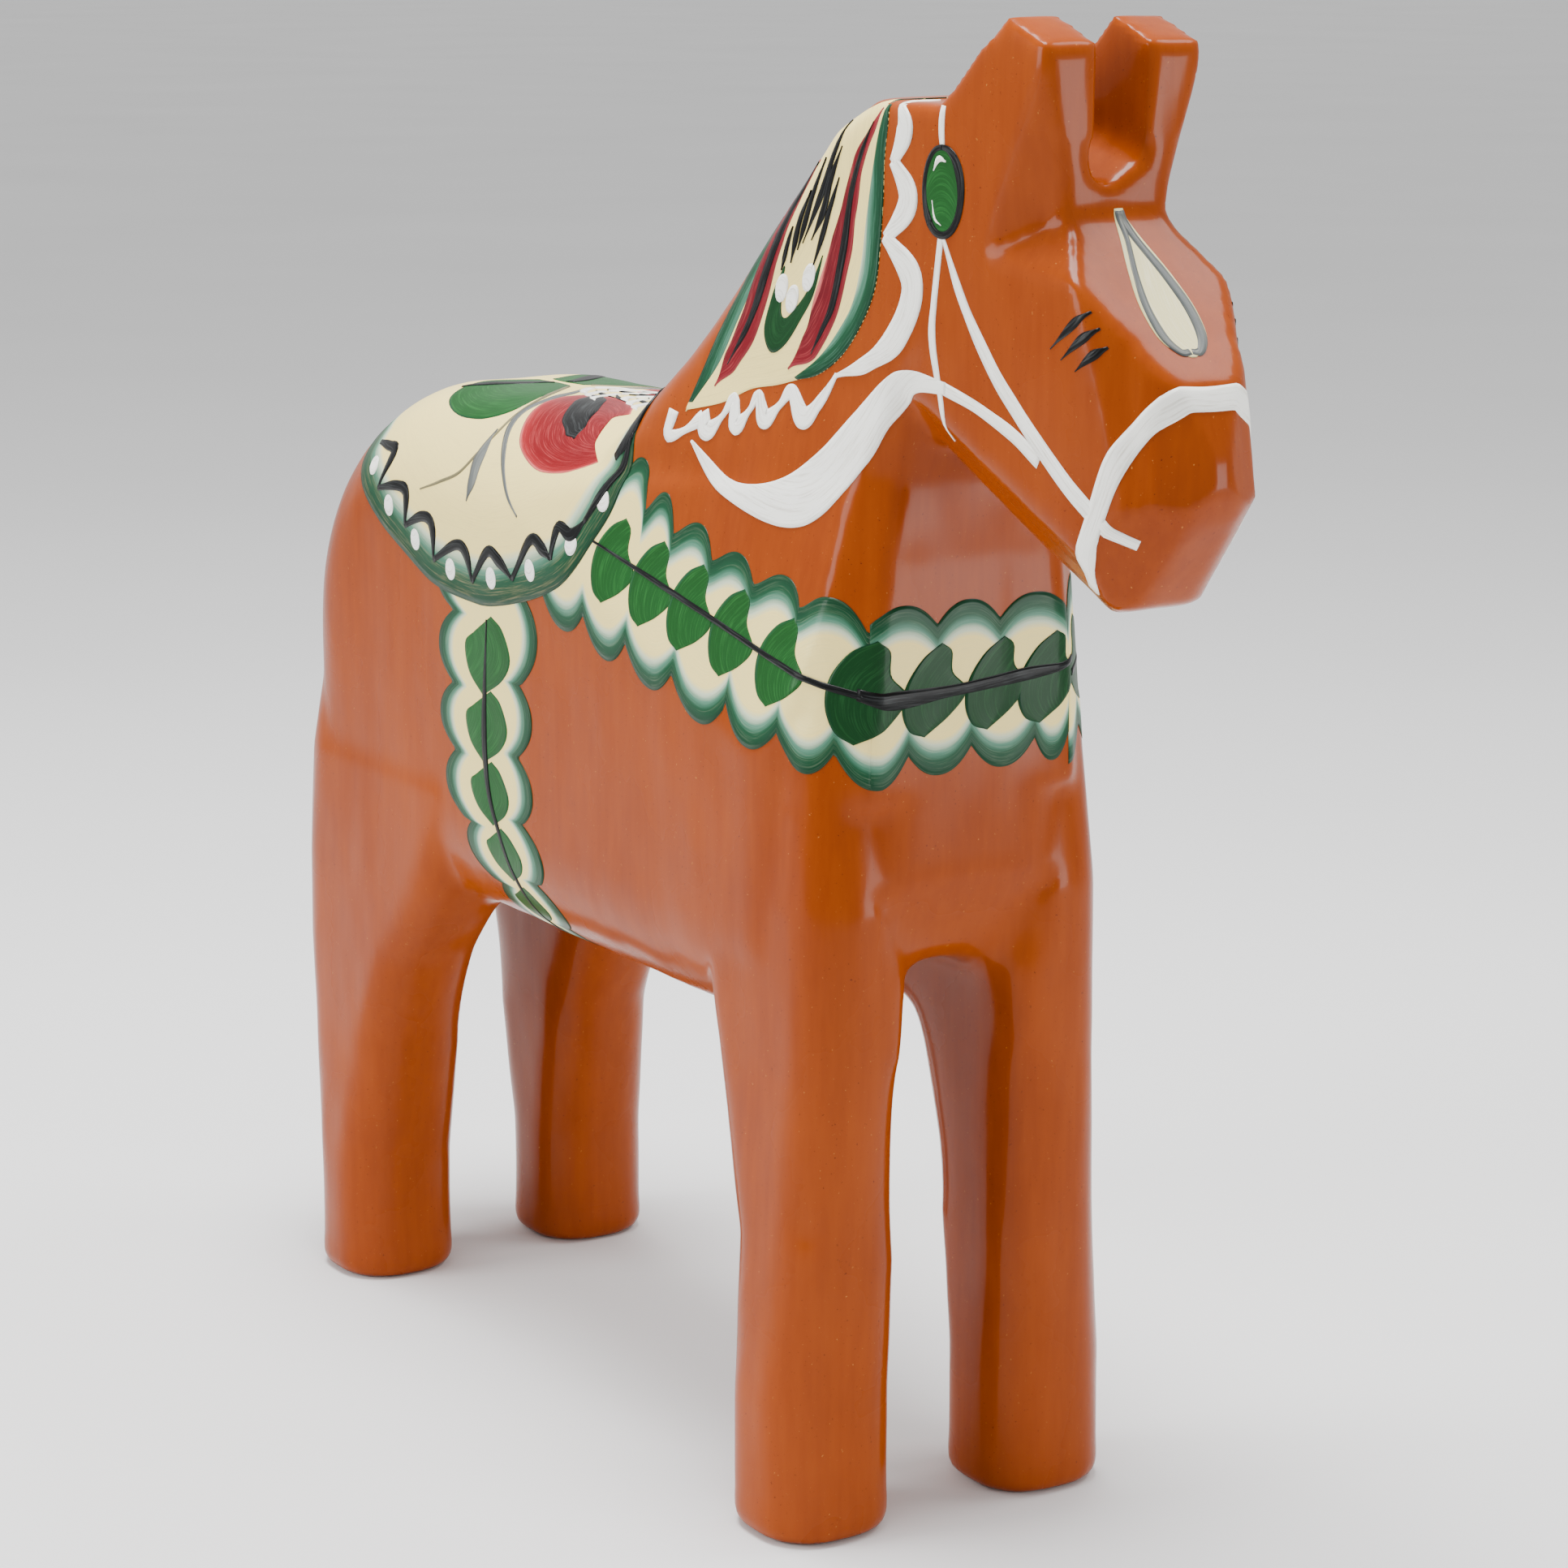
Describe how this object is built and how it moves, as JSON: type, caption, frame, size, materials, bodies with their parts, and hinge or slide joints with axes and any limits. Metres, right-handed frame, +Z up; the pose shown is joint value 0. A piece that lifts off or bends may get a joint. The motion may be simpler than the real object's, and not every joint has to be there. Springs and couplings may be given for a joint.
{
  "type": "carved toy horse",
  "caption": "Carved and painted wooden horse with upright ears, a saddle field, breast and girth bands and a bridle, standing on four legs.",
  "frame": {"origin": "on the floor under the middle of the bounding box", "axes": "+X the way the horse faces, +Y its left side, +Z up"},
  "size_m": [0.3108, 0.0812, 0.2999],
  "materials": {
    "painted_pine": "satin orange paint on pine",
    "cream_paint": "satin paint film",
    "mane_paint": "satin paint film, cream stroked with red, green and black",
    "band_paint": "satin paint film, green shading to cream",
    "green_paint": "satin paint film",
    "white_paint": "satin paint film",
    "blaze_paint": "satin paint film with a grey outline"
  },
  "bodies": {
    "root": {"blaze_paint": "blaze_paint", "breast_band_paint": "band_paint", "bridle_paint_left": "white_paint", "bridle_paint_right": "white_paint", "centre_board": "painted_pine", "crown_strap_paint_left": "white_paint", "crown_strap_paint_right": "white_paint", "garland_paint_left": "white_paint", "garland_paint_right": "white_paint", "girth_band_paint_left": "band_paint", "girth_band_paint_right": "band_paint", "left_board": "painted_pine", "mane_paint_left": "mane_paint", "mane_paint_right": "mane_paint", "mane_scallop_paint_left": "white_paint", "mane_scallop_paint_right": "white_paint", "noseband_paint": "white_paint", "right_board": "painted_pine", "rosette_paint_left": "green_paint", "rosette_paint_right": "green_paint", "saddle_paint": "cream_paint"}
  },
  "joints": []
}
